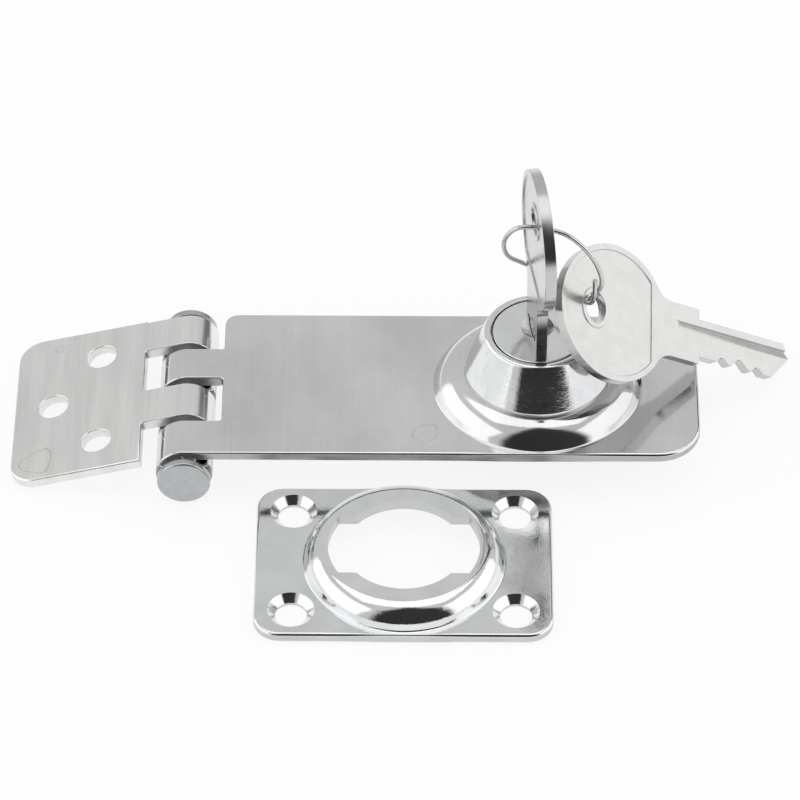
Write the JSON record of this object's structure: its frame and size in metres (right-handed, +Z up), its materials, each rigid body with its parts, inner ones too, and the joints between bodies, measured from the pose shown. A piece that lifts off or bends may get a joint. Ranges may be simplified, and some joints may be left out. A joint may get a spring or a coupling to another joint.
{
  "type": "keyed hasp lock",
  "caption": "Hinged hasp with a tapered key cylinder in its dome, a screw-on leaf, a strike plate with a bayonet opening, and keys on a wire ring.",
  "frame": {"origin": "middle of the strike plate's four screw holes, on its underside, which is the mounting surface", "axes": "+X along the hasp from its hinge to its free end, +Y from the strike plate to the hasp, +Z up, out of the mounting surface"},
  "size_m": [0.1395, 0.0739, 0.0558],
  "materials": {
    "satin_steel": "satin nickel-plated sheet",
    "brushed_steel": "brushed along the hinge pin",
    "polished_chrome": "polished chrome plating",
    "nickel": "nickel-plated key blank",
    "spring_steel": "bright spring wire",
    "brass": "stamped brass",
    "zinc": "zinc-plated steel"
  },
  "bodies": {
    "hasp": {"hasp_plate": "satin_steel", "hinge_pin": "zinc", "lock_body": "polished_chrome", "clamp_nut": "zinc", "strike_plate": "polished_chrome"},
    "leaf": {"hinge_leaf": "brushed_steel"},
    "cylinder": {"plug": "polished_chrome", "wafer_1": "brass", "wafer_2": "brass", "wafer_3": "brass", "wafer_4": "brass", "wafer_5": "brass", "wafer_spring_1": "spring_steel", "wafer_spring_2": "spring_steel", "wafer_spring_3": "spring_steel", "wafer_spring_4": "spring_steel", "wafer_spring_5": "spring_steel", "locking_cam": "zinc", "stop_washer": "zinc", "retaining_clip": "spring_steel", "turned_key": "nickel", "spare_key": "nickel", "key_ring": "spring_steel"}
  },
  "joints": [
    {"name": "leaf_hinge", "type": "hinge", "parent": "hasp", "child": "leaf", "pos_m": [-0.039, 0.0364, 0.005], "axis": [0, 1, 0], "range_deg": [-165.23, 114]},
    {"name": "plug_turn", "type": "hinge", "parent": "hasp", "child": "cylinder", "pos_m": [0.0235, 0.0364, 0.023], "axis": [0, 0, 1], "range_deg": [-9, 81]}
  ]
}
